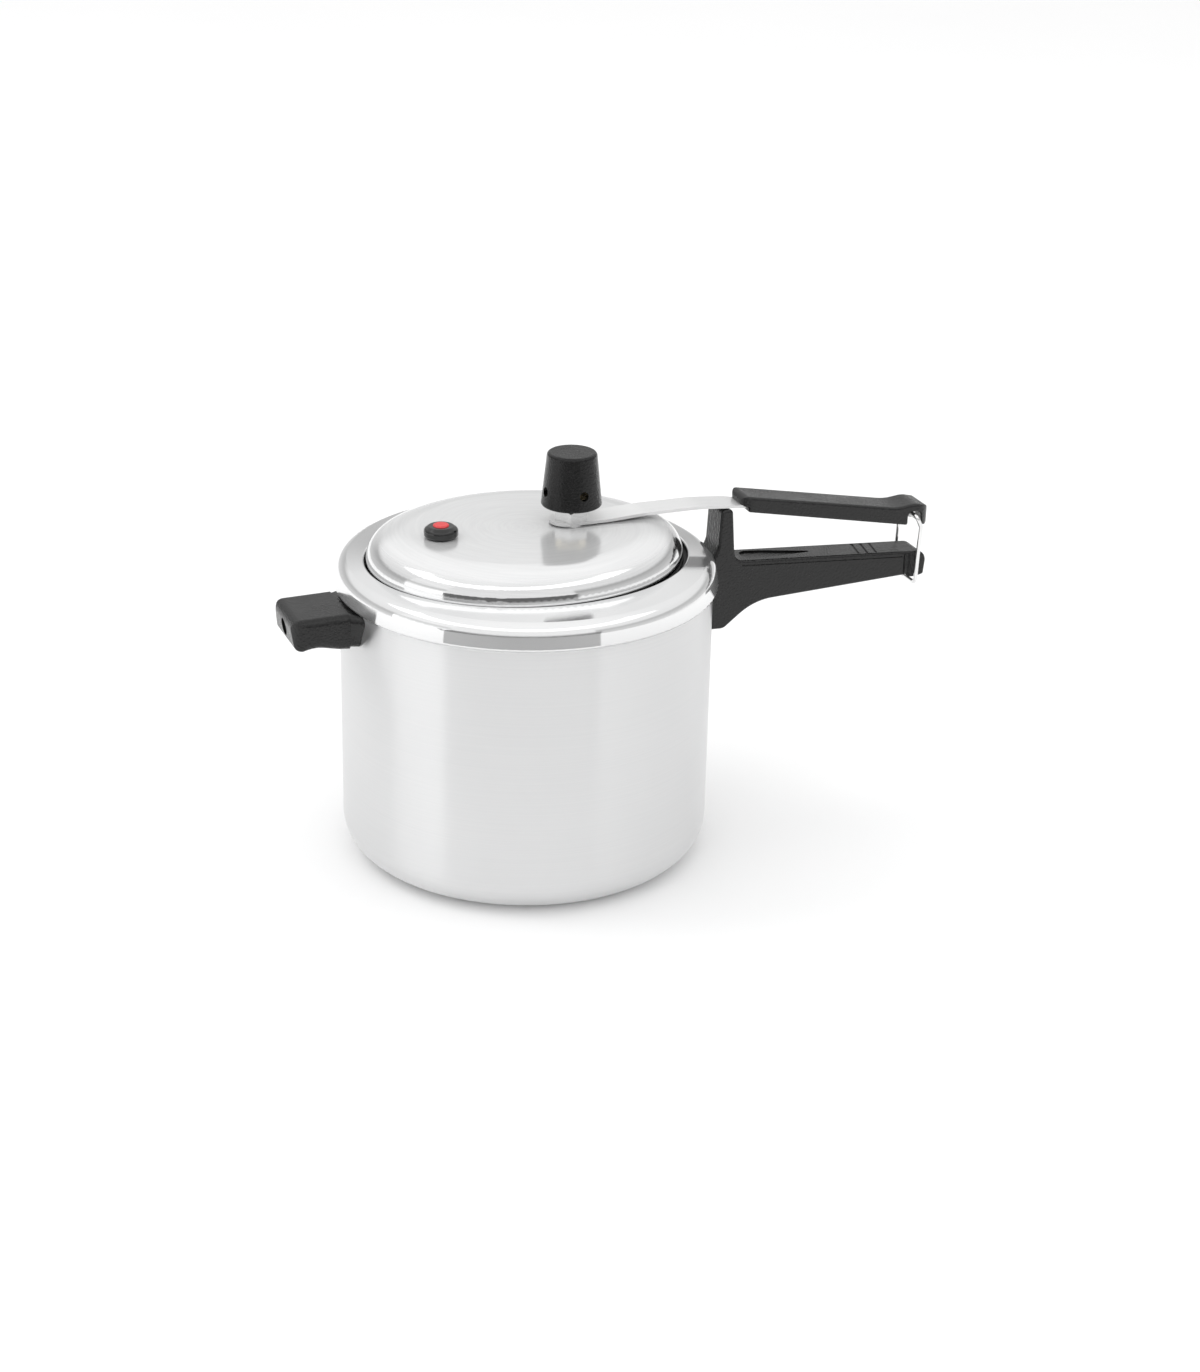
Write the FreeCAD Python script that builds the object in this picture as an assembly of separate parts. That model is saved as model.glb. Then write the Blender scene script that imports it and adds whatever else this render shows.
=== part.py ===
import FreeCAD, Part
import os
from math import asin, cos, degrees, radians, sin, tan
from FreeCAD import Matrix, Vector

# Inner-lid stovetop pressure cooker. Millimetres. The origin is the centre of the pot's underside,
# +Z is up and +X runs out along the long handles.

# Pot: a straight round wall, a bead under the shoulder and an oval mouth whose long axis lies along X
POT_R = 100.0
WALL_T = 2.5
BASE_T = 4.0
BASE_CORNER_R = 19.5
BEAD_Z = 150.6
BEAD_R = 102.8
BEAD_LOW_Z = 152.6
ROLL_R = 101.0
ROLL_Z = 164.5
ROLL_BEND_R = 7.4
CREST_R = 96.0
CREST_Z = 165.7
LIP_Z = 166.5
LIP_T = 2.1
LIP_EDGE_R = 0.8
MOUTH_A = 87.6
MOUTH_B = 76.2

# Lid: an oval dish that closes the mouth from inside, drawn as a round profile and squeezed along Y
LID_X = -0.95
LID_A = 85.9
LID_T = 2.0
LID_TOP_Z = 181.6
LID_FLAT_A = 70.0
LID_ROLL_A = 85.0
LID_ROLL_Z = 175.8
LID_ROLL_BEND_R = 12.4
LID_ROLL_SLACK = 1.4
LID_NECK_Z = 165.0
LID_FLANGE_A = 92.3
LID_FLANGE_Z = 160.6
GASKET_TOP_Z = 163.3
GASKET_RIM_Z = 161.9
GASKET_GAP = 0.1

# Steam vent, its fixings and the spring strap that carries the lid
STEM_X = 25.0
STEM_R = 6.0
STEM_NECK_R = 4.0
STEM_TOP_Z = 208.0
STEM_BORE_R = 2.2
STEM_JET_R = 1.1
STEM_FLANGE_R = 9.0
WASHER_R = 8.0
NUT_FLATS = 17.0
NUT_H = 6.3
STRAP_T = 1.6
STRAP_Z = 182.3
STRAP_ARCH_Z = 183.5
STRAP_END_X = 12.9
STRAP_HALF_W = 8.6
STRAP_TAIL_HALF_W = 6.0

# Weight regulator that stands on the vent
CAP_LOW_R = 16.4
CAP_TOP_R = 13.3
CAP_LOW_Z = 191.8
CAP_TOP_Z = 221.0
CAP_WALL = 2.2
WEIGHT_R = 11.6
WEIGHT_NECK_R = 8.6
WEIGHT_LOW_Z = 193.6
WEIGHT_STEP_Z = 204.6
WEIGHT_TOP_Z = 212.0
STEM_RUNNING_FIT = 0.06
CAP_VENT_R = 2.5
CAP_VENT_Z = 200.6
CAP_VENT_TURN = -85.0
CLIP_Z = 197.4
CLIP_RING_R = 4.85
CLIP_WIRE_R = 0.45

# Safety valve: a rubber plug in the lid with a sliding pin
PLUG_X = -48.1
PLUG_DOME_R = 9.1
PLUG_TOP_Z = 187.9
PLUG_NECK_R = 6.5
PLUG_LOW_Z = 176.6
PIN_R = 4.3
PIN_TOP_Z = 188.7
PIN_FIT = 0.06
PIN_TRAVEL = 3.0
PIN_FOOT_R = 6.0
PIN_FOOT_T = 1.2

# Latch wire hooked from the upper handle's end round the lower handle's neck
EYE_X = 227.2
EYE_Z = 166.0
EYE_R = 2.5
WIRE_R = 1.15
WIRE_FIT = 0.05
WIRE_Y = 13.0
WIRE_KNEE_X = 230.1
WIRE_KNEE_Z = 160.0
WIRE_LOW_X = 228.7
WIRE_LOW_Z = 126.4
WIRE_BEND_R = 2.6
WIRE_BUTT_GAP = 0.4

# Long handles
HANDLE_HALF_W = 9.7
UPPER_EDGE_R = 1.5
LOWER_EDGE_R = 1.5
CROWN_X = 112.6
CROWN_Z = 177.3
CROWN_R = 4.3
LOWER_END_X = 237.2
UPPER_NOSE_X = 121.3
UPPER_END_X = 238.3
FLANK_GROOVE_DROP = 2.3
FLANK_GROOVE_H = 0.9
FLANK_GROOVE_DEPTH = 0.5
SADDLE_X = 94.0
SADDLE_GAP = 0.05
FLARE_X = 105.4
FLARE_HALF_TOP = 25.0
FLARE_HALF_LOW = 13.8
FLARE_LOW_Z = 112.6
FLARE_TOP_Z = 151.2
FLARE_INSET = 0.6
BRACKET_T = 2.5
TONGUE_Z = 134.0
TONGUE_T = 3.0
TONGUE_HALF_W = 7.0
TONGUE_END_X = 149.0

# Helper handle
HELPER_X = -135.3
HELPER_ROOT_X = -104.2
HELPER_HALF_W = 20.0
HELPER_EDGE_R = 4.0
HELPER_TOP_Z = 151.6
HELPER_LOW_Z = 132.6
HELPER_FLARE_HALF_TOP = 29.0
HELPER_FLARE_HALF_LOW = 16.5
STUD_Z = 142.0
STUD_R = 5.5
STUD_END_X = -121.5

# Rivets and screws
RIVET_R = 2.5
RIVET_HEAD_R = 5.0
RIVET_HEAD_T = 1.8
SCREW_R = 2.0
SCREW_HEAD_R = 4.0
SCREW_HEAD_T = 2.4
SCREW_SLOT_W = 1.2
BODY_SCREW_X = 140.0
BODY_SCREW_SEAT_Z = 131.0
BODY_SCREW_TOP_Z = 142.0
HELPER_SCREW_SEAT_X = -128.0
HELPER_SCREW_END_X = -112.0

UP = Vector(0, 0, 1)
TALL = 400.0


def rounded_wire(corners, place):
    """Closed wire through the corners (u, v, radius), each one rounded by its own tangent arc."""
    bends = []
    count = len(corners)
    for index, (u, v, radius) in enumerate(corners):
        here = Vector(u, v, 0)
        u_back, v_back, _ = corners[index - 1]
        u_next, v_next, _ = corners[(index + 1) % count]
        back = (Vector(u_back, v_back, 0) - here).normalize()
        ahead = (Vector(u_next, v_next, 0) - here).normalize()
        half = back.getAngle(ahead) / 2
        reach = radius / tan(half)
        middle = here + (back + ahead).normalize() * (radius / sin(half) - radius)
        bends.append((here + back * reach, middle, here + ahead * reach, radius))
    edges = []
    for index, (start, middle, end, radius) in enumerate(bends):
        if radius > 0:
            edges.append(Part.Arc(place(start), place(middle), place(end)).toShape())
        following = bends[(index + 1) % count][0]
        if (following - end).Length > 1e-6:
            edges.append(Part.LineSegment(place(end), place(following)).toShape())
    return Part.Wire(edges)


def side_prism(corners, half_width):
    """An outline in X and Z, thickened evenly to both sides of the plane Y = 0."""
    wire = rounded_wire(corners, lambda p: Vector(p.x, -half_width, p.y))
    return Part.Face(wire).extrude(Vector(0, 2 * half_width, 0))


def softened(prism, radius, wanted):
    """Rounds the edges along a prism's two flanks whose middles are wanted."""
    edges = []
    for edge in prism.Edges:
        middle = edge.valueAt((edge.FirstParameter + edge.LastParameter) / 2)
        if edge.BoundBox.YLength < 1e-3 and wanted(middle):
            edges.append(edge)
    return prism.makeFillet(radius, edges)


def plan_prism(corners, low_z, high_z):
    """An outline in X and Y, raised from low_z to high_z."""
    wire = rounded_wire(corners, lambda p: Vector(p.x, p.y, low_z))
    return Part.Face(wire).extrude(Vector(0, 0, high_z - low_z))


def turned(corners, x=0.0):
    """An outline in radius and Z, turned about the vertical line through (x, 0)."""
    wire = rounded_wire(corners, lambda p: Vector(p.x + x, 0, p.y))
    return Part.Face(wire).revolve(Vector(x, 0, 0), UP, 360)


def squeezed(shape):
    """A round shape made oval like the mouth, and set at the lid's centre."""
    matrix = Matrix()
    matrix.scale(1.0, MOUTH_B / MOUTH_A, 1.0)
    oval = shape.transformGeometry(matrix)
    oval.translate(Vector(LID_X, 0, 0))
    return oval


def cylinder(radius, low_z, high_z, x=0.0, y=0.0):
    return Part.makeCylinder(radius, high_z - low_z, Vector(x, y, low_z), UP)


def oval_wire(half_x, half_y, z):
    return Part.Wire([Part.Ellipse(Vector(half_x, 0, z), Vector(0, half_y, z), Vector(0, 0, z)).toShape()])


def circle_wire(radius, z):
    return Part.Wire([Part.Circle(Vector(0, 0, z), UP, radius).toShape()])


def shoulder(circle_r, circle_z, oval_z):
    """The gentle slope from a round crest up to the oval mouth."""
    return Part.makeLoft([circle_wire(circle_r, circle_z), oval_wire(MOUTH_A, MOUTH_B, oval_z)], True, True)


def pot_body():
    outer = turned([(0, 0, 0), (POT_R, 0, BASE_CORNER_R), (POT_R, BEAD_Z, 1.2), (BEAD_R, BEAD_LOW_Z, 1.2),
                    (ROLL_R, ROLL_Z, ROLL_BEND_R), (CREST_R, CREST_Z, 0), (0, CREST_Z, 0)])
    outer = outer.fuse(shoulder(CREST_R, CREST_Z, LIP_Z))
    inner_r = CREST_R - LIP_T
    inner_z = CREST_Z - LIP_T
    cavity = turned([(0, BASE_T, 0), (POT_R - WALL_T, BASE_T, BASE_CORNER_R - WALL_T), (POT_R - WALL_T, BEAD_Z, 4.0),
                     (BEAD_R - WALL_T, BEAD_LOW_Z + 1.5, 4.0), (ROLL_R - WALL_T, ROLL_Z - LIP_T, ROLL_BEND_R - LIP_T),
                     (inner_r, inner_z, 0), (0, inner_z, 0)])
    cavity = cavity.fuse(shoulder(inner_r, inner_z, LIP_Z - LIP_T))
    mouth = Part.Face(oval_wire(MOUTH_A, MOUTH_B, inner_z)).extrude(Vector(0, 0, TALL))
    pot = outer.cut(cavity).cut(mouth)
    boxes = [(edge, edge.BoundBox) for edge in pot.Edges]
    rims = [edge for edge, box in boxes
            if box.ZMin > LIP_Z - LIP_T - 0.1 and box.ZLength < 0.01 and box.XMax < MOUTH_A + 4]
    return pot.makeFillet(LIP_EDGE_R, rims)


def lid_shell():
    """A dish with a flat crown and a full roll-over that leans in from the mouth."""
    under = LID_TOP_Z - LID_T
    low = LID_FLANGE_Z - LID_T
    inner_a = LID_A - LID_T
    dish = turned([(0, LID_TOP_Z, 0), (LID_FLAT_A, LID_TOP_Z, 40), (LID_ROLL_A, LID_ROLL_Z, LID_ROLL_BEND_R),
                   (LID_A, LID_NECK_Z, 8), (LID_A, LID_FLANGE_Z, 0.4), (LID_FLANGE_A, LID_FLANGE_Z, 0.7),
                   (LID_FLANGE_A, low, 0.7), (inner_a, low, 2.6), (inner_a, LID_NECK_Z, 6),
                   (LID_ROLL_A - LID_T, LID_ROLL_Z - LID_ROLL_SLACK, LID_ROLL_BEND_R - LID_T),
                   (LID_FLAT_A - 0.3, under, 38), (0, under, 0)])
    holes = [cylinder(STEM_R, LID_FLANGE_Z, TALL, STEM_X), cylinder(PLUG_NECK_R, LID_FLANGE_Z, TALL, PLUG_X)]
    return squeezed(dish).cut(Part.makeCompound(holes))


def lid_gasket():
    """A rubber ring lying on the lid's flange, close under the pot's shoulder."""
    inner = LID_A + GASKET_GAP
    outer = LID_FLANGE_A - 0.2
    low = LID_FLANGE_Z + GASKET_GAP
    ring = turned([(inner, low, 0.6), (outer, low, 0.5), (outer, GASKET_RIM_Z, 0.6), (inner + 2.8, GASKET_TOP_Z, 1.2),
                   (inner, GASKET_TOP_Z, 0.6)])
    return squeezed(ring)


def vent_stem():
    under = LID_TOP_Z - LID_T
    shoulder_z = STRAP_Z + STRAP_T + NUT_H + 0.5
    tube = turned([(0, under - 7.0, 0), (5.0, under - 7.0, 0.8), (5.0, under - 2.4, 0), (STEM_FLANGE_R, under - 2.4, 0.6),
                   (STEM_FLANGE_R, under, 0), (STEM_R, under, 0), (STEM_R, shoulder_z, 0.6),
                   (STEM_NECK_R, shoulder_z, 0), (STEM_NECK_R, STEM_TOP_Z, 0.8), (0, STEM_TOP_Z, 0)], STEM_X)
    tube = tube.cut(cylinder(STEM_BORE_R, 0, STEM_TOP_Z - 4.0, STEM_X))
    return tube.cut(cylinder(STEM_JET_R, 0, TALL, STEM_X))


def vent_washer():
    return cylinder(WASHER_R, LID_TOP_Z, STRAP_Z, STEM_X).cut(cylinder(STEM_R, 0, TALL, STEM_X))


def vent_nut():
    """A hexagon whose corners are turned off by a cone at the top."""
    low = STRAP_Z + STRAP_T
    corner_r = NUT_FLATS / 2 / cos(radians(30))
    points = [Vector(STEM_X + corner_r * cos(radians(60 * k + 8)), corner_r * sin(radians(60 * k + 8)), low)
              for k in range(7)]
    hexagon = Part.Face(Part.makePolygon(points)).extrude(Vector(0, 0, NUT_H))
    crown = turned([(0, low, 0), (corner_r, low, 0), (corner_r, low + NUT_H - 1.2, 0),
                    (corner_r - 1.9, low + NUT_H, 0), (0, low + NUT_H, 0)], STEM_X)
    return hexagon.common(crown).cut(cylinder(STEM_R, 0, TALL, STEM_X))


def strap_line(rise):
    """Corners along the strap, from the vent's end over the post to the eye."""
    return [(STRAP_END_X - 2, STRAP_Z + rise, 0), (44.0, STRAP_Z + rise, 90), (64.0, STRAP_ARCH_Z + rise, 90),
            (97.0, STRAP_ARCH_Z + rise, 120), (117.0, 181.8 + rise, 60), (EYE_X - 0.6, 163.9 + rise, 0)]


def lid_strap(screws):
    """A flat spring: a round end under the nut, an arch over the post and a curled eye at its tail."""
    band = side_prism(strap_line(0) + strap_line(STRAP_T)[::-1], 20.0)
    blank = plan_prism([(STRAP_END_X, STRAP_HALF_W, STRAP_HALF_W - 0.1), (STRAP_END_X, -STRAP_HALF_W, STRAP_HALF_W - 0.1),
                        (116, -STRAP_HALF_W + 0.4, 20), (134, -STRAP_TAIL_HALF_W, 20), (250, -STRAP_TAIL_HALF_W, 0),
                        (250, STRAP_TAIL_HALF_W, 0), (134, STRAP_TAIL_HALF_W, 20), (116, STRAP_HALF_W - 0.4, 20)],
                       100, 250)
    middle = Vector(EYE_X, -STRAP_TAIL_HALF_W, EYE_Z)
    across = Vector(0, 1, 0)
    eye = Part.makeCylinder(EYE_R, 2 * STRAP_TAIL_HALF_W, middle, across)
    bore = Part.makeCylinder(WIRE_R + WIRE_FIT, TALL, middle - across * 100, across)
    strap = band.common(blank).fuse(eye).removeSplitter()
    return strap.cut(bore).cut(cylinder(STEM_R, 100, 250, STEM_X)).cut(screws)


def strap_slope():
    (x_start, z_start, _), (x_end, z_end, _) = strap_line(0)[-2:]
    return degrees(asin((z_start - z_end) / Vector(x_end - x_start, 0, z_end - z_start).Length))


def upper_handle_screws():
    """Two screws that come up through the strap from the handle's underside."""
    (x_start, z_start, _), (x_end, z_end, _) = strap_line(0)[-2:]
    group = []
    for share in (0.28, 0.78):
        foot = Vector(x_start + (x_end - x_start) * share, 0, z_start + (z_end - z_start) * share)
        screw = Part.makeCylinder(SCREW_HEAD_R - 1, 1.6, Vector(0, 0, -1.6)).fuse(
            Part.makeCylinder(SCREW_R - 0.5, 4.4, Vector(0, 0, 0)))
        screw.rotate(Vector(0, 0, 0), Vector(0, 1, 0), strap_slope())
        screw.translate(foot)
        group.append(screw.removeSplitter())
    return Part.makeCompound(group)


def above_strap(point):
    """True on the upper handle's top and its end, above the middle of its flank."""
    return point.z > EYE_Z + 0.6 + (UPPER_END_X - point.x) * 0.15


def upper_handle(screws):
    """A long grip with a nose over the strap, a thumb swell at the end and a notch for the wire."""
    profile = [(UPPER_NOSE_X, 188.2, 3.6), (217, 171.0, 30), (228, 172.4, 14), (235.5, 170.6, 4),
               (UPPER_END_X, 166.6, 2.4), (237.6, 160.2, 3.2), (232.4, 158.6, 2.2), (231.8, 167.6, 3.0),
               (223.9, 167.6, 3.0), (223.9, 160.0, 1.0), (125.4, 178.6, 1.2), (125.4, 181.4, 0),
               (UPPER_NOSE_X, 182.4, 1.6)]
    grip = softened(side_prism(profile, HANDLE_HALF_W), UPPER_EDGE_R, above_strap)
    plan = plan_prism([(UPPER_NOSE_X, HANDLE_HALF_W, 6.0), (UPPER_NOSE_X, -HANDLE_HALF_W, 6.0),
                       (UPPER_END_X, -HANDLE_HALF_W, 8.6), (UPPER_END_X, HANDLE_HALF_W, 8.6)], 100, 250)
    grip = grip.common(plan)
    channel = side_prism(strap_line(0) + strap_line(STRAP_T)[::-1], STRAP_HALF_W + 0.1)
    taper = plan_prism([(100, STRAP_HALF_W, 0), (100, -STRAP_HALF_W, 0), (116, -STRAP_HALF_W + 0.5, 0),
                        (134, -STRAP_TAIL_HALF_W - 0.1, 0), (250, -STRAP_TAIL_HALF_W - 0.1, 0),
                        (250, STRAP_TAIL_HALF_W + 0.1, 0), (134, STRAP_TAIL_HALF_W + 0.1, 0),
                        (116, STRAP_HALF_W - 0.5, 0)], 100, 250)
    pocket = Part.makeCylinder(EYE_R + 0.1, 2 * STRAP_TAIL_HALF_W + 0.2, Vector(EYE_X, -STRAP_TAIL_HALF_W - 0.1, EYE_Z),
                               Vector(0, 1, 0))
    return grip.cut(channel.common(taper)).cut(pocket).cut(screws)


def post_and_grip():
    """The lower handle seen from its side: root, post, grip and end flange in one outline."""
    profile = [(101.0, 112.4, 0), (112.8, 112.0, 5.0), (130.9, 126.2, 34),
               (224.8, 130.4, 1.2), (226.6, 128.4, 1.0), (231.4, 128.6, 1.0), (235.8, 129.7, 1.4),
               (LOWER_END_X, 143.5, 6.0), (118.2, 151.3, 6.0), (116.0, CROWN_Z + CROWN_R, 2.6),
               (109.2, CROWN_Z + CROWN_R, 2.6), (108.2, 160.0, 12), (104.2, 151.4, 0)]
    return softened(side_prism(profile, HANDLE_HALF_W), LOWER_EDGE_R, lambda point: point.x > 104.6)


def shield(x, half_top, half_low, low, high, corner):
    """A rounded outline across X, wider at its top than at its foot."""
    return rounded_wire([(-half_top, high, corner), (half_top, high, corner), (half_low, low, corner),
                         (-half_low, low, corner)], lambda p: Vector(x, p.x, p.y))


def wall_blank():
    """The space of the pot with its bead, which the handle roots are cut back from."""
    return turned([(0, 0, 0), (POT_R + SADDLE_GAP, 0, 0), (POT_R + SADDLE_GAP, BEAD_Z - 0.3, 0),
                   (BEAD_R + 0.3, BEAD_LOW_Z - 0.3, 0), (BEAD_R + 0.3, 200, 0), (0, 200, 0)])


def grip_grooves():
    """Three slanting grooves across the grip's top."""
    group = []
    for k in range(3):
        bar = Part.makeBox(1.4, 16.4, 3.0, Vector(-0.7, -8.2, -1.5))
        bar.rotate(Vector(0, 0, 0), UP, -11)
        bar.translate(Vector(196.2 + 5.5 * k, 0, 147.1 - 0.35 * k))
        group.append(bar)
    return Part.makeCompound(group)


def thumb_recess():
    """A long tear-shaped hollow in the grip's top beside the post."""
    tear = plan_prism([(125.5, 6.6, 5.6), (125.5, -6.6, 5.6), (140.0, -5.6, 30), (172.0, 0, 1.0), (140.0, 5.6, 30)],
                      140, 160)
    floor = Part.makeBox(120, 40, 20, Vector(0, -20, 0))
    floor.rotate(Vector(0, 0, 0), Vector(0, 1, 0), 3.75)
    floor.translate(Vector(118.2, 0, 150.3))
    return tear.common(floor)


def flank_grooves():
    """A shadow line along each flank, just under the grip's top."""
    drop = FLANK_GROOVE_DROP
    line = [(122.5, 151.1 - drop), (221.5, 144.6 - drop)]
    corners = [(x, z, 0) for x, z in line] + [(x, z - FLANK_GROOVE_H, 0) for x, z in reversed(line)]
    bar = side_prism(corners, HANDLE_HALF_W + 1)
    return bar.cut(side_prism(corners, HANDLE_HALF_W - FLANK_GROOVE_DEPTH))


def wire_waist():
    """The hollows in both flanks of the lower handle where the wire's legs lie."""
    group = []
    for side in (-1, 1):
        group.append(cylinder(5.0, 100, 143.2, 226.4, side * (HANDLE_HALF_W + 3.0)))
        group.append(cylinder(1.4, 100, 200, 229.4, side * (HANDLE_HALF_W + 0.1)))
    return Part.makeCompound(group)


def body_handle(bracket, rivets, screw):
    grip = post_and_grip()
    half = HANDLE_HALF_W - FLARE_INSET
    foot = shield(SADDLE_X, FLARE_HALF_TOP, FLARE_HALF_LOW, FLARE_LOW_Z, FLARE_TOP_Z, 4.0)
    neck = shield(FLARE_X, half, half, FLARE_LOW_Z + 0.3, FLARE_TOP_Z - 0.2, 1.5)
    root = Part.makeLoft([foot, neck], True, True)
    handle = grip.fuse(root).cut(wall_blank())
    handle = handle.cut(wire_waist()).cut(grip_grooves()).cut(thumb_recess()).cut(flank_grooves())
    screw_way = cylinder(SCREW_HEAD_R + 0.3, 100, BODY_SCREW_SEAT_Z, BODY_SCREW_X)
    return handle.cut(bracket).cut(rivets).cut(screw_way).cut(screw)


def wall_plate(mid_angle, half_width, low, high):
    """A curved plate lying on the round wall."""
    ring = cylinder(POT_R + BRACKET_T, low, high).cut(cylinder(POT_R, low, high))
    side = 1 if abs(mid_angle) < 90 else -1
    window = Part.makeBox(40, 2 * half_width, high - low, Vector(80 if side > 0 else -120, -half_width, low))
    return ring.common(window)


def wall_rivets(sign, offsets):
    """Rivets through the wall and the plate, with cone heads bedded on both curved faces."""
    plate = cylinder(POT_R + BRACKET_T, 50, 160)
    wall = cylinder(POT_R, 50, 160).cut(cylinder(POT_R - WALL_T, 50, 160))
    group = []
    for y, z in offsets:
        axis = Vector(sign * cos(asin(y / POT_R)), y / POT_R, 0)
        centre = Vector(0, 0, z)
        inner = centre + axis * (POT_R - WALL_T)
        outer = centre + axis * (POT_R + BRACKET_T)
        shank = Part.makeCylinder(RIVET_R, WALL_T + BRACKET_T + 1.0, inner - axis * 0.5, axis)
        inside = Part.makeCone(RIVET_HEAD_R * 0.55, RIVET_HEAD_R, RIVET_HEAD_T, inner - axis * RIVET_HEAD_T, axis)
        outside = Part.makeCone(RIVET_HEAD_R, RIVET_HEAD_R * 0.55, RIVET_HEAD_T, outer, axis)
        inside = inside.fuse(Part.makeCylinder(RIVET_HEAD_R, 0.5, inner, axis)).cut(wall)
        outside = outside.fuse(Part.makeCylinder(RIVET_HEAD_R, 0.5, outer - axis * 0.5, axis)).cut(plate)
        group.append(shank.fuse([inside, outside]).removeSplitter())
    return Part.makeCompound(group)


def body_bracket(rivets):
    plate = wall_plate(0, 15.0, 119.0, 145.0)
    tongue = Part.makeBox(TONGUE_END_X - POT_R, 2 * TONGUE_HALF_W, TONGUE_T, Vector(POT_R, -TONGUE_HALF_W, TONGUE_Z))
    hole = cylinder(SCREW_R, 100, 200, BODY_SCREW_X)
    return plate.fuse(tongue).removeSplitter().cut(hole).cut(rivets)


def body_screw():
    low = BODY_SCREW_SEAT_Z - SCREW_HEAD_T
    head = cylinder(SCREW_HEAD_R, low, BODY_SCREW_SEAT_Z, BODY_SCREW_X)
    shank = cylinder(SCREW_R, BODY_SCREW_SEAT_Z, BODY_SCREW_TOP_Z, BODY_SCREW_X)
    slot = Part.makeBox(10, SCREW_SLOT_W, SCREW_SLOT_W, Vector(BODY_SCREW_X - 5, -SCREW_SLOT_W / 2, low))
    return head.fuse(shank).cut(slot)


def helper_bracket(rivets, screw):
    plate = wall_plate(180, 15.0, 133.5, 149.0)
    boss = Part.makeCylinder(STUD_R, -STUD_END_X - POT_R - 1.5, Vector(-POT_R - 1.5, 0, STUD_Z), Vector(-1, 0, 0))
    return plate.fuse(boss).removeSplitter().cut(rivets).cut(screw)


def helper_screw():
    outward = Vector(-1, 0, 0)
    head = Part.makeCylinder(SCREW_HEAD_R, SCREW_HEAD_T, Vector(HELPER_SCREW_SEAT_X, 0, STUD_Z), outward)
    slot_end = Vector(HELPER_SCREW_SEAT_X - SCREW_HEAD_T, -SCREW_SLOT_W / 2, STUD_Z - 5)
    slot = Part.makeBox(SCREW_SLOT_W, SCREW_SLOT_W, 10, slot_end)
    shank_end = Vector(HELPER_SCREW_END_X, 0, STUD_Z)
    shank = Part.makeCylinder(SCREW_R, HELPER_SCREW_END_X - HELPER_SCREW_SEAT_X, shank_end, outward)
    return head.fuse(shank).cut(slot)


def helper_handle(bracket, rivets, screw):
    """A short block with a waved underside, flared on to the wall."""
    profile = [(HELPER_ROOT_X, HELPER_TOP_Z, 0), (HELPER_X, HELPER_TOP_Z - 0.6, 5.0), (HELPER_X + 2.4, HELPER_LOW_Z, 4.2),
               (-122, HELPER_LOW_Z + 2.6, 20), (-110, HELPER_LOW_Z, 16), (HELPER_ROOT_X, HELPER_LOW_Z - 0.6, 0)]
    block = softened(side_prism(profile, HELPER_HALF_W), HELPER_EDGE_R,
                     lambda point: point.x < HELPER_ROOT_X - 0.1)
    plan = plan_prism([(-90, HELPER_HALF_W, 0), (-90, -HELPER_HALF_W, 0), (HELPER_X, -HELPER_HALF_W, 9),
                       (HELPER_X, HELPER_HALF_W, 9)], 100, 200)
    half = HELPER_HALF_W - FLARE_INSET
    foot = shield(-SADDLE_X, HELPER_FLARE_HALF_TOP, HELPER_FLARE_HALF_LOW, HELPER_LOW_Z - 1.6, FLARE_TOP_Z, 5.0)
    neck = shield(HELPER_ROOT_X - 0.6, half, half, HELPER_LOW_Z + 0.4, HELPER_TOP_Z - 0.8, 4.0)
    root = Part.makeLoft([foot, neck], True, True)
    handle = block.common(plan).fuse(root).cut(wall_blank())
    seat = Vector(HELPER_SCREW_SEAT_X, 0, STUD_Z)
    screw_way = Part.makeCylinder(SCREW_HEAD_R + 0.5, 20, seat, Vector(-1, 0, 0))
    return handle.cut(bracket).cut(rivets).cut(screw_way).cut(screw)


def safety_plug():
    under = LID_TOP_Z - LID_T
    rubber = turned([(0, PLUG_LOW_Z, 0), (8.6, PLUG_LOW_Z, 0.8), (8.6, under, 0), (PLUG_NECK_R, under, 0),
                     (PLUG_NECK_R, LID_TOP_Z, 0), (8.0, LID_TOP_Z, 0), (PLUG_DOME_R, 182.9, 1.0),
                     (PLUG_DOME_R, 186.2, 2.2), (6.6, PLUG_TOP_Z, 1.6), (0, PLUG_TOP_Z, 0)], PLUG_X)
    return rubber.cut(cylinder(PIN_R + PIN_FIT, 0, TALL, PLUG_X))


def safety_pin():
    foot_top = PLUG_LOW_Z - PIN_TRAVEL - 0.3
    return turned([(0, foot_top - PIN_FOOT_T, 0), (PIN_FOOT_R, foot_top - PIN_FOOT_T, 0.4), (PIN_FOOT_R, foot_top, 0.4),
                   (PIN_R, foot_top, 0), (PIN_R, PIN_TOP_Z, 0.9), (0, PIN_TOP_Z, 0)], PLUG_X)


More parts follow.
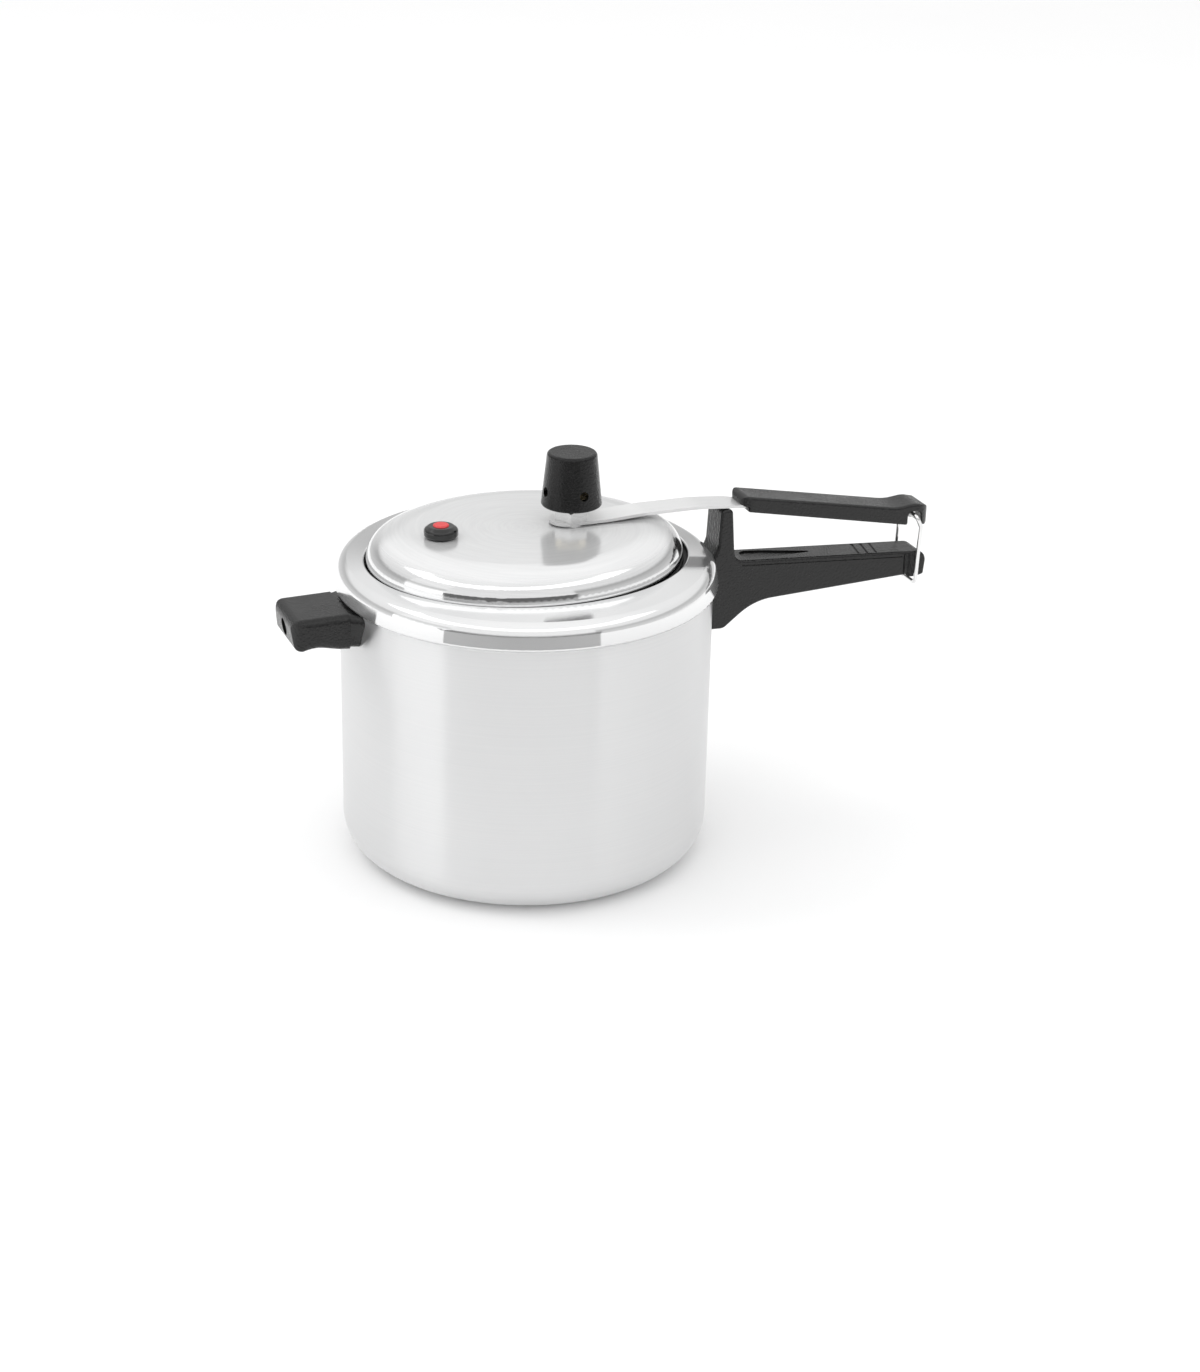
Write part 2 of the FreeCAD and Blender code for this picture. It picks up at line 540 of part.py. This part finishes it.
def regulator_cap():
    """A black cone with a rounded top edge, hollow underneath and vented near its foot."""
    lean = (CAP_LOW_R - CAP_TOP_R) / (CAP_TOP_Z - CAP_LOW_Z)
    outer = turned([(0, CAP_LOW_Z, 0), (CAP_LOW_R, CAP_LOW_Z, 1.0), (CAP_TOP_R, CAP_TOP_Z, 1.8), (0, CAP_TOP_Z, 0)],
                   STEM_X)
    roof_r = CAP_LOW_R - CAP_WALL - lean * (WEIGHT_TOP_Z - CAP_LOW_Z)
    hollow = turned([(0, CAP_LOW_Z - 1, 0), (CAP_LOW_R - CAP_WALL, CAP_LOW_Z - 1, 0), (roof_r, WEIGHT_TOP_Z, 0.8),
                     (0, WEIGHT_TOP_Z, 0)], STEM_X)
    socket = cylinder(5.0, WEIGHT_TOP_Z - 1, WEIGHT_TOP_Z + 4.0, STEM_X)
    vents = []
    for k in range(4):
        angle = radians(CAP_VENT_TURN + 90 * k)
        vents.append(Part.makeCylinder(CAP_VENT_R, 30, Vector(STEM_X, 0, CAP_VENT_Z), Vector(cos(angle), sin(angle), 0)))
    return outer.cut(hollow).cut(socket).cut(Part.makeCompound(vents))


def regulator_weight():
    """A stepped metal plug, bored to slide on the vent and ending in a needle over its jet."""
    bore_r = STEM_NECK_R + STEM_RUNNING_FIT
    solid = turned([(0, WEIGHT_LOW_Z, 0), (WEIGHT_NECK_R, WEIGHT_LOW_Z, 0.8), (WEIGHT_NECK_R, WEIGHT_STEP_Z, 0),
                    (WEIGHT_R, WEIGHT_STEP_Z + 1.4, 0), (WEIGHT_R, WEIGHT_TOP_Z, 0.6), (5.0, WEIGHT_TOP_Z, 0),
                    (5.0, WEIGHT_TOP_Z + 3.8, 0.4), (0, WEIGHT_TOP_Z + 3.8, 0)], STEM_X)
    bore = turned([(0, WEIGHT_LOW_Z - 1, 0), (bore_r + 1.2, WEIGHT_LOW_Z - 1, 0), (bore_r + 1.2, WEIGHT_LOW_Z, 0),
                   (bore_r, WEIGHT_LOW_Z + 1.2, 0), (bore_r, STEM_TOP_Z + 0.3, 0), (0.7, STEM_TOP_Z + 0.3, 0),
                   (0.4, STEM_TOP_Z - 1.4, 0), (0, STEM_TOP_Z - 1.4, 0)], STEM_X)
    groove_half = CLIP_WIRE_R + 0.3
    groove = cylinder(CLIP_RING_R + groove_half, CLIP_Z - groove_half, CLIP_Z + groove_half, STEM_X)
    return solid.cut(bore).cut(groove)


def regulator_clip():
    """A split spring ring that grips the vent inside the weight."""
    ring = Part.makeTorus(CLIP_RING_R, CLIP_WIRE_R, Vector(STEM_X, 0, CLIP_Z), UP)
    return ring.cut(Part.makeBox(8, 2.4, 2, Vector(STEM_X, -1.2, CLIP_Z - 1)))


def rounded_path(points, radius):
    """An open path of straight runs whose inner corners are tangent arcs."""
    edges = []
    start = points[0]
    for before, corner, after in zip(points, points[1:], points[2:]):
        back = (before - corner).normalize()
        ahead = (after - corner).normalize()
        half = back.getAngle(ahead) / 2
        reach = radius / tan(half)
        middle = corner + (back + ahead).normalize() * (radius / sin(half) - radius)
        edges.append(Part.LineSegment(start, corner + back * reach).toShape())
        edges.append(Part.Arc(corner + back * reach, middle, corner + ahead * reach).toShape())
        start = corner + ahead * reach
    edges.append(Part.LineSegment(start, points[-1]).toShape())
    return Part.Wire(edges)


def latch_wire():
    """A springy wire loop: bar through the eye, cranked legs, bar under the neck with a butt joint."""
    half_gap = WIRE_BUTT_GAP / 2
    path = rounded_path([Vector(WIRE_LOW_X, half_gap, WIRE_LOW_Z), Vector(WIRE_LOW_X, WIRE_Y, WIRE_LOW_Z),
                         Vector(WIRE_KNEE_X, WIRE_Y, WIRE_KNEE_Z), Vector(EYE_X, WIRE_Y, EYE_Z),
                         Vector(EYE_X, -WIRE_Y, EYE_Z), Vector(WIRE_KNEE_X, -WIRE_Y, WIRE_KNEE_Z),
                         Vector(WIRE_LOW_X, -WIRE_Y, WIRE_LOW_Z), Vector(WIRE_LOW_X, -half_gap, WIRE_LOW_Z)],
                        WIRE_BEND_R)
    start = Vector(WIRE_LOW_X, half_gap, WIRE_LOW_Z)
    section = Part.Wire([Part.Circle(start, Vector(0, 1, 0), WIRE_R).toShape()])
    return path.makePipeShell([section], True, False)


def build():
    """Every piece by name."""
    body_rivets = wall_rivets(1, [(-10.0, 126.0), (10.0, 126.0)])
    helper_rivets = wall_rivets(-1, [(-10.5, 141.0), (10.5, 141.0)])
    body_fixing = body_screw()
    helper_fixing = helper_screw()
    bracket = body_bracket(body_rivets)
    stud = helper_bracket(helper_rivets, helper_fixing)
    screws = upper_handle_screws()
    pot = pot_body().cut(body_rivets).cut(helper_rivets)
    return {
        "pot_body": pot,
        "body_handle": body_handle(bracket, body_rivets, body_fixing),
        "body_handle_bracket": bracket,
        "body_handle_rivets": body_rivets,
        "body_handle_screw": body_fixing,
        "helper_handle": helper_handle(stud, helper_rivets, helper_fixing),
        "helper_bracket": stud,
        "helper_rivets": helper_rivets,
        "helper_screw": helper_fixing,
        "lid_shell": lid_shell(),
        "lid_gasket": lid_gasket(),
        "vent_stem": vent_stem(),
        "vent_washer": vent_washer(),
        "vent_nut": vent_nut(),
        "lid_strap": lid_strap(screws),
        "upper_handle": upper_handle(screws),
        "upper_handle_screws": screws,
        "safety_plug": safety_plug(),
        "safety_pin": safety_pin(),
        "regulator_cap": regulator_cap(),
        "regulator_weight": regulator_weight(),
        "regulator_clip": regulator_clip(),
        "latch_wire": latch_wire(),
    }


os.makedirs("parts", exist_ok=True)
for name, shape in build().items():
    print(name, shape.ShapeType, len(shape.Solids), shape.isValid(), round(shape.Volume, 1))
    shape.exportStep(f"parts/{name}.step")
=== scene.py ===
import math

import bmesh
import bpy
from mathutils import Matrix, Vector


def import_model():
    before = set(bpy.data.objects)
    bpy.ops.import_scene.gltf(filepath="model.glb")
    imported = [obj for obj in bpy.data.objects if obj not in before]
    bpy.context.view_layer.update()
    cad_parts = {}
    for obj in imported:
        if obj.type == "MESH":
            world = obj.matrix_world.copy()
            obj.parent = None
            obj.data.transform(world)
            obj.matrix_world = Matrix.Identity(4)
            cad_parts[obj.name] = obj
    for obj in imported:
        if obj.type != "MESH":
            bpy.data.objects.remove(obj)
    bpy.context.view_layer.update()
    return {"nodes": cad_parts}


# The looks of a stovetop pressure cooker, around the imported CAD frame.
# Metres, +Z up, +X along the long handles.

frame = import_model()

# Camera: where it looks from, and its lens on a 36 mm sensor
VIEW_AZIMUTH = math.radians(-22.0)
VIEW_ELEVATION = math.radians(23.365)
VIEW_ROLL = math.radians(1.246)
VIEW_DISTANCE = 1.45451
VIEW_AIM = (0.040537, 0.000422, 0.090)
LENS_MM = 70.05
CLIP_START = 0.05
CLIP_END = 50.0

# Heights that the finishes change at, and the vent's place along the handles
BEAD_LOW_Z = 0.1505
BEAD_EDGE = 0.002
ROLL_LOW_Z = 0.163
LID_TOP_Z = 0.1816
LID_SATIN_LOW_Z = LID_TOP_Z - 0.007
LID_SATIN_HIGH_Z = LID_TOP_Z - 0.001
VENT_X = 0.025

# Finishes: the range that most of a noise lies in, alone and added to another, and the least radius of a lathe
NOISE_RANGE = (0.3, 0.7)
SUM_RANGE = (0.7, 1.3)
LATHE_LEAST_R = 0.004

# Studio: sizes in metres, and levels as (degrees above the floor, brightness)
FLOOR_HALF = 9.0
DOME_R = 4.0
SKY_PEAK = 1.6
SKY_LEVELS = ((0, 0.72), (10, 0.60), (19, 0.46), (26, 0.85), (50, 0.92), (90, 1.0))
SIDE_LEVELS = ((0, 1.55), (12, 1.30), (21, 0.60), (26, 0.98), (60, 0.98))
DARK_LEVELS = ((0, 0.55), (8, 0.50), (9.5, 0.15), (20, 0.15))
SIDE_R = 3.6
FRONT_R = 3.0
FRONT_DARK_R = 0.75
FRONT_AZIMUTHS = (-43, 42)
FRONT_HIGH_LEVEL = 0.92
FRONT_TOP_LEVEL = 1.7
CARD_COLUMNS = 24
CARD_ROWS = 8
LIGHT_AIM = (0, 0, 0.05)


# ---------------------------------------------------------------- materials


class Finish:
    """A material, with short calls for the nodes that the finishes share."""

    def __init__(self, name, **inputs):
        self.material = bpy.data.materials.new(name)
        self.material.use_nodes = True
        self.tree = self.material.node_tree
        self.shader = self.tree.nodes["Principled BSDF"]
        for key, value in inputs.items():
            self.set(key.replace("_", " "), value)

    def set(self, name, value):
        self.fill(self.shader, {name: value})

    def fill(self, node, inputs):
        for key, value in inputs.items():
            if isinstance(value, bpy.types.NodeSocket):
                self.tree.links.new(value, node.inputs[key])
            else:
                node.inputs[key].default_value = value

    def add(self, kind, inputs, **settings):
        node = self.tree.nodes.new(kind)
        for key, value in settings.items():
            setattr(node, key, value)
        self.fill(node, inputs)
        return node.outputs

    def math(self, operation, a, b=0.0):
        return self.add("ShaderNodeMath", {0: a, 1: b}, operation=operation)[0]

    def place(self):
        """Object coordinates, which are metres in the CAD frame."""
        return self.add("ShaderNodeTexCoord", {})["Object"]

    def stretched(self, x, y, z):
        return self.add("ShaderNodeMapping", {"Vector": self.place(), "Scale": (x, y, z)})[0]

    def noise(self, vector, scale, detail=3.0, rough=0.55):
        outputs = self.add("ShaderNodeTexNoise", {"Vector": vector, "Scale": scale, "Detail": detail,
                                                  "Roughness": rough})
        return outputs["Fac"] if "Fac" in outputs else outputs[0]

    def spots(self, vector, scale):
        return self.add("ShaderNodeTexVoronoi", {"Vector": vector, "Scale": scale})["Distance"]

    def remap(self, value, low, high, to_low, to_high):
        return self.add("ShaderNodeMapRange", {0: value, 1: low, 2: high, 3: to_low, 4: to_high},
                        interpolation_type="SMOOTHSTEP")[0]

    def vary(self, noise, low, high):
        """A value from low to high over the range that most of a noise lies in."""
        return self.remap(noise, *NOISE_RANGE, low, high)

    def vary_sum(self, noise_a, noise_b, low, high):
        """The same, for two noises added together."""
        return self.remap(self.math("ADD", noise_a, noise_b), *SUM_RANGE, low, high)

    def mix(self, factor, value_a, value_b):
        return self.add("ShaderNodeMix", {0: factor, 2: value_a, 3: value_b}, data_type="FLOAT")[0]

    def blend(self, factor, colour_a, colour_b):
        return self.add("ShaderNodeMix", {0: factor, 6: colour_a, 7: colour_b}, data_type="RGBA")[2]

    def bump(self, height, distance, strength=1.0, normal=None):
        inputs = {"Height": height, "Distance": distance, "Strength": strength}
        if normal is not None:
            inputs["Normal"] = normal
        return self.add("ShaderNodeBump", inputs)[0]

    def lathe(self, around, along, centre_x=0.0):
        """Coordinates that run slowly round the vertical axis and quickly down a turned profile."""
        parts = self.add("ShaderNodeSeparateXYZ", {0: self.place()})
        x = self.math("SUBTRACT", parts[0], centre_x)
        radius = self.math("SQRT", self.math("ADD", self.math("MULTIPLY", x, x),
                                             self.math("MULTIPLY", parts[1], parts[1])))
        safe = self.math("MAXIMUM", radius, LATHE_LEAST_R)
        run = self.math("SUBTRACT", radius, parts[2])
        return self.add("ShaderNodeCombineXYZ", {
            0: self.math("MULTIPLY", self.math("DIVIDE", x, safe), around),
            1: self.math("MULTIPLY", self.math("DIVIDE", parts[1], safe), around),
            2: self.math("MULTIPLY", run, along)})[0]

    def height_z(self):
        return self.add("ShaderNodeSeparateXYZ", {0: self.place()})[2]


def grey(level, warm=0.0):
    """A near grey, turned towards red by a positive warm and towards blue by a negative one."""
    return (level + warm, level, level - warm, 1.0)


def pot_finish():
    """Spun aluminium: satin wall with fine rings, mirror-polished bead and shoulder."""
    f = Finish("pot_aluminium_spun", Metallic=0.9, Anisotropic=0.98, Anisotropic_Rotation=0.25)
    rings = f.noise(f.lathe(0.7, 2400.0), 1.0, 3.0, 0.6)
    haze = f.noise(f.place(), 14.0, 3.0, 0.5)
    specks = f.noise(f.stretched(1.0, 1.0, 0.35), 1500.0, 2.0, 0.6)
    cloud = f.math("ADD", rings, f.math("MULTIPLY", haze, 0.6))
    wall = f.blend(f.remap(cloud, 0.5, 1.15, 0.0, 1.0), grey(0.775, -0.003), grey(0.805, -0.001))
    crest = f.blend(f.vary(haze, 0.0, 1.0), grey(0.86, -0.003), grey(0.90, -0.001))
    f.set("Base Color", f.blend(f.remap(f.height_z(), BEAD_LOW_Z, ROLL_LOW_Z, 0.0, 1.0), wall, crest))
    satin = f.remap(rings, 0.25, 0.75, 0.33, 0.37)
    polish = f.vary(haze, 0.07, 0.11)
    above = f.remap(f.height_z(), BEAD_LOW_Z, BEAD_LOW_Z + BEAD_EDGE, 0.0, 1.0)
    f.set("Roughness", f.mix(above, satin, polish))
    f.set("Tangent", f.add("ShaderNodeTangent", {}, direction_type="RADIAL", axis="Z")[0])
    relief = f.bump(rings, 0.0000012, 0.5)
    f.set("Normal", f.bump(specks, 0.000002, 0.5, relief))
    return f.material


def lid_finish():
    """Pressed aluminium: a whitish top that still mirrors what stands on it, and a polished roll-over."""
    f = Finish("lid_aluminium_pressed")
    rings = f.noise(f.lathe(1.5, 700.0), 1.0, 4.0, 0.6)
    haze = f.noise(f.place(), 18.0, 3.0, 0.5)
    f.set("Base Color", f.blend(f.vary(rings, 0.0, 1.0), grey(0.80, -0.003), grey(0.85, -0.001)))
    satin = f.vary(haze, 0.13, 0.18)
    polish = f.vary(haze, 0.06, 0.10)
    above = f.remap(f.height_z(), LID_SATIN_LOW_Z, LID_SATIN_HIGH_Z, 0.0, 1.0)
    f.set("Metallic", f.remap(above, 0.0, 1.0, 1.0, 0.5))
    f.set("Roughness", f.mix(above, polish, satin))
    f.set("Normal", f.bump(rings, 0.000003, 0.5))
    return f.material


def bakelite_finish(name, base, rough, level):
    """Moulded phenolic: near black, with a fine pebble in its gloss and faint flow marks."""
    f = Finish(name, Specular_IOR_Level=level)
    pebble = f.noise(f.place(), 1000.0, 3.0, 0.65)
    grains = f.spots(f.place(), 700.0)
    flow = f.noise(f.place(), 60.0, 3.0, 0.5)
    marks = f.math("ADD", pebble, f.math("MULTIPLY", flow, 0.5))
    f.set("Base Color", f.blend(f.remap(marks, 0.55, 1.0, 0.0, 1.0), grey(base * 0.6), grey(base * 1.5)))
    f.set("Roughness", f.vary_sum(pebble, flow, rough - 0.08, rough + 0.10))
    f.set("Normal", f.bump(grains, 0.00024, 0.55, f.bump(pebble, 0.00030, 0.65)))
    return f.material


def steel_finish(name, tone, rough, stretch):
    """Drawn or plated metal with fine lengthwise grain."""
    f = Finish(name, Metallic=1.0)
    grain = f.noise(f.stretched(*stretch), 1.0, 4.0, 0.6)
    haze = f.noise(f.place(), 90.0, 3.0, 0.5)
    f.set("Base Color", f.blend(f.vary(grain, 0.0, 1.0), grey(tone - 0.05, 0.002), grey(tone + 0.03, 0.0)))
    f.set("Roughness", f.vary_sum(grain, haze, rough * 0.75, rough * 1.3))
    f.set("Normal", f.bump(grain, 0.000006, 0.5))
    return f.material


def strap_finish():
    """Spring steel with painted shade: near black on faces turned down, bright steel on faces turned up."""
    f = Finish("spring_strap")
    grain = f.noise(f.stretched(60, 1800, 1800), 1.0, 4.0, 0.6)
    up = f.add("ShaderNodeSeparateXYZ", {0: f.add("ShaderNodeNewGeometry", {})["Normal"]})[2]
    # mask for painted shade: 0 on faces turned down, 1 on faces turned up
    painted_shade_mask = f.remap(up, -0.5, 0.3, 0.0, 1.0)
    bright = f.blend(grain, grey(0.86), grey(0.93))
    # painted shade: faces turned down get a near black colour, faces turned up the bright steel
    f.set("Base Color", f.blend(painted_shade_mask, grey(0.10), bright))
    f.set("Metallic", f.remap(painted_shade_mask, 0.0, 1.0, 0.9, 0.5))
    f.set("Roughness", f.vary(grain, 0.12, 0.20))
    f.set("Normal", f.bump(grain, 0.000006, 0.5))
    return f.material


def brass_finish():
    """Turned brass with fine tool rings round the vent's axis."""
    f = Finish("weight_brass", Metallic=1.0)
    rings = f.noise(f.lathe(1.0, 1600.0, VENT_X), 1.0, 3.0, 0.6)
    f.set("Base Color", f.blend(f.vary(rings, 0.0, 1.0), (0.62, 0.52, 0.33, 1), (0.74, 0.64, 0.42, 1)))
    f.set("Roughness", f.vary(rings, 0.22, 0.34))
    f.set("Normal", f.bump(rings, 0.00001, 0.6))
    return f.material


def rubber_finish(name, tone, rough, coat=0.0):
    """Moulded rubber with fine pores, a cloudy bloom and, where coat is given, a sheen."""
    f = Finish(name, Coat_Weight=coat, Coat_Roughness=0.12)
    pores = f.noise(f.place(), 1400.0, 3.0, 0.6)
    bloom = f.noise(f.place(), 160.0, 3.0, 0.5)
    f.set("Base Color", f.blend(f.vary(bloom, 0.0, 1.0), grey(tone * 0.7), grey(tone * 1.4)))
    f.set("Roughness", f.vary_sum(pores, bloom, rough - 0.06, rough + 0.08))
    f.set("Normal", f.bump(pores, 0.00003, 0.4))
    return f.material


def red_finish():
    """The safety pin's red plastic, finely pored under a thin gloss."""
    f = Finish("pin_red", Coat_Weight=0.3, Coat_Roughness=0.2)
    pores = f.noise(f.place(), 900.0, 3.0, 0.6)
    f.set("Base Color", f.blend(f.vary(pores, 0.0, 1.0), (0.60, 0.018, 0.022, 1), (0.78, 0.035, 0.04, 1)))
    f.set("Roughness", f.vary(pores, 0.38, 0.5))
    f.set("Normal", f.bump(pores, 0.00003, 0.4))
    return f.material


def paint(finish, *nodes):
    """Gives CAD nodes a finish in place of their plain one."""
    for name in nodes:
        mesh = frame["nodes"][name].data
        mesh.materials.clear()
        mesh.materials.append(finish)


# ------------------------------------------------------------------- studio


def stage_mesh(name, bm, material):
    """Makes a studio object, which is no part of the cooker, and uses up bm."""
    mesh = bpy.data.meshes.new(name)
    bm.to_mesh(mesh)
    bm.free()
    mesh.materials.append(material)
    obj = bpy.data.objects.new(name, mesh)
    bpy.context.scene.collection.objects.link(obj)
    return obj


def floor():
    """A pale paper floor that fills the main view."""
    f = Finish("floor_paper", Roughness=0.8, Specular_IOR_Level=0.2)
    f.set("Base Color", f.blend(f.noise(f.place(), 3.0), grey(0.92), grey(0.94)))
    bm = bmesh.new()
    bmesh.ops.create_grid(bm, x_segments=2, y_segments=2, size=FLOOR_HALF)
    stage_mesh("floor", bm, f.material)


def glow(name, level):
    """An even white light for a card."""
    material = bpy.data.materials.new(name)
    material.use_nodes = True
    tree = material.node_tree
    tree.nodes.clear()
    lamp = tree.nodes.new("ShaderNodeEmission")
    lamp.inputs["Color"].default_value = grey(1.0)
    lamp.inputs["Strength"].default_value = level
    out = tree.nodes.new("ShaderNodeOutputMaterial")
    tree.links.new(lamp.outputs[0], out.inputs[0])
    return material


def graded_glow(name, levels, radius):
    """Light for a card of this radius, whose brightness follows the height above the floor."""
    material = glow(name, SKY_PEAK)
    tree = material.node_tree
    place = tree.nodes.new("ShaderNodeTexCoord")
    parts = tree.nodes.new("ShaderNodeSeparateXYZ")
    rise = tree.nodes.new("ShaderNodeMath")
    rise.operation = "DIVIDE"
    rise.inputs[1].default_value = radius
    ramp = tree.nodes.new("ShaderNodeValToRGB")
    stops = ramp.color_ramp.elements
    while len(stops) < len(levels):
        stops.new(0.5)
    for stop, (degrees, level) in zip(stops, levels):
        stop.position = math.sin(math.radians(degrees))
        stop.color = grey(level / SKY_PEAK)
    tree.links.new(place.outputs["Object"], parts.inputs[0])
    tree.links.new(parts.outputs[2], rise.inputs[0])
    tree.links.new(rise.outputs[0], ramp.inputs[0])
    tree.links.new(ramp.outputs[0], tree.nodes["Emission"].inputs["Color"])
    return material


def sky_card(name, azimuths, elevations, material, radius):
    """A curved card that only reflections see. Azimuth is from the camera's side, to its right."""
    bm = bmesh.new()
    grid = []
    for j in range(CARD_ROWS + 1):
        elevation = math.radians(elevations[0] + (elevations[1] - elevations[0]) * j / CARD_ROWS)
        row = []
        for i in range(CARD_COLUMNS + 1):
            angle = VIEW_AZIMUTH + math.radians(azimuths[0] + (azimuths[1] - azimuths[0]) * i / CARD_COLUMNS)
            row.append(bm.verts.new((radius * math.sin(angle) * math.cos(elevation),
                                     -radius * math.cos(angle) * math.cos(elevation),
                                     radius * math.sin(elevation))))
        grid.append(row)
    for low, high in zip(grid, grid[1:]):
        for i in range(CARD_COLUMNS):
            bm.faces.new((low[i], low[i + 1], high[i + 1], high[i]))
    card = stage_mesh(name, bm, material)
    card.visible_camera = False
    card.visible_diffuse = False
    card.visible_shadow = False
    card.visible_transmission = False


def world(level):
    """An even white surround."""
    scene_world = bpy.data.worlds.new("studio")
    bpy.context.scene.world = scene_world
    scene_world.use_nodes = True
    background = scene_world.node_tree.nodes["Background"]
    background.inputs["Color"].default_value = grey(1.0)
    background.inputs["Strength"].default_value = level


def soft_light(name, place, size, power):
    """A round area lamp that reflections don't see, because the cards shape those."""
    data = bpy.data.lights.new(name, "AREA")
    data.shape = "DISK"
    data.size = size
    data.energy = power
    lamp = bpy.data.objects.new(name, data)
    lamp.location = place
    lamp.rotation_mode = "QUATERNION"
    lamp.rotation_quaternion = (Vector(LIGHT_AIM) - Vector(place)).to_track_quat("-Z", "Y")
    lamp.visible_glossy = False
    bpy.context.scene.collection.objects.link(lamp)


def camera():
    """The photograph's view of the whole cooker. VIEW_AIM is along, up and the height of the point aimed at."""
    back = Vector((math.sin(VIEW_AZIMUTH) * math.cos(VIEW_ELEVATION),
                   -math.cos(VIEW_AZIMUTH) * math.cos(VIEW_ELEVATION), math.sin(VIEW_ELEVATION)))
    right = Vector((math.cos(VIEW_AZIMUTH), math.sin(VIEW_AZIMUTH), 0.0))
    up = back.cross(right)
    along, rise, height = VIEW_AIM
    aim = Vector((0.0, 0.0, height)) + right * along + up * rise
    across = right * math.cos(VIEW_ROLL) + up * math.sin(VIEW_ROLL)
    above = up * math.cos(VIEW_ROLL) - right * math.sin(VIEW_ROLL)
    data = bpy.data.cameras.new("camera")
    data.lens = LENS_MM
    data.clip_start = CLIP_START
    data.clip_end = CLIP_END
    cam = bpy.data.objects.new("camera", data)
    turn = Matrix((across, above, back)).transposed().to_4x4()
    cam.matrix_world = Matrix.Translation(aim + back * VIEW_DISTANCE) @ turn
    bpy.context.scene.collection.objects.link(cam)
    bpy.context.scene.camera = cam


# --------------------------------------------------------------------- make

paint(pot_finish(), "pot_body")
paint(lid_finish(), "lid_shell")
paint(bakelite_finish("handle_bakelite", 0.003, 0.19, 0.46), "body_handle", "upper_handle", "helper_handle")
paint(bakelite_finish("cap_bakelite", 0.003, 0.20, 0.34), "regulator_cap")
paint(rubber_finish("gasket_rubber", 0.012, 0.55), "lid_gasket")
paint(rubber_finish("plug_rubber", 0.004, 0.16, 0.3), "safety_plug")
paint(red_finish(), "safety_pin")
paint(steel_finish("nickel_plate", 0.74, 0.06, (300, 300, 900)), "vent_nut", "vent_washer", "vent_stem")
paint(strap_finish(), "lid_strap")
paint(steel_finish("wire_chrome", 0.84, 0.10, (900, 900, 60)), "latch_wire", "regulator_clip")
paint(steel_finish("bracket_steel", 0.55, 0.35, (400, 400, 400)), "body_handle_bracket", "helper_bracket")
paint(steel_finish("screw_steel", 0.62, 0.28, (700, 700, 200)), "body_handle_screw", "helper_screw",
      "upper_handle_screws")
paint(steel_finish("rivet_aluminium", 0.80, 0.30, (500, 500, 500)), "body_handle_rivets", "helper_rivets")
paint(brass_finish(), "regulator_weight")

bpy.context.scene.view_settings.view_transform = "Standard"
world(1.0)
floor()
soft_light("key", (-1.5, 0.9, 2.1), 1.3, 10.0)
soft_light("overhead", (0.0, -0.3, 2.5), 3.0, 12.0)
sky_card("sky", (-180, 180), (0, 90), graded_glow("sky_glow", SKY_LEVELS, DOME_R), DOME_R)
sky_card("side_left", (-80, -43), (0.5, 60), graded_glow("side_glow", SIDE_LEVELS, SIDE_R), SIDE_R)
sky_card("front_high", FRONT_AZIMUTHS, (4, 32), glow("front_high_glow", FRONT_HIGH_LEVEL), FRONT_R)
sky_card("front_top", (-120, 110), (46, 60), glow("front_top_glow", FRONT_TOP_LEVEL), FRONT_R)
sky_card("front_dark", FRONT_AZIMUTHS, (0, 20),
         graded_glow("front_dark_glow", DARK_LEVELS, FRONT_DARK_R), FRONT_DARK_R)
camera()
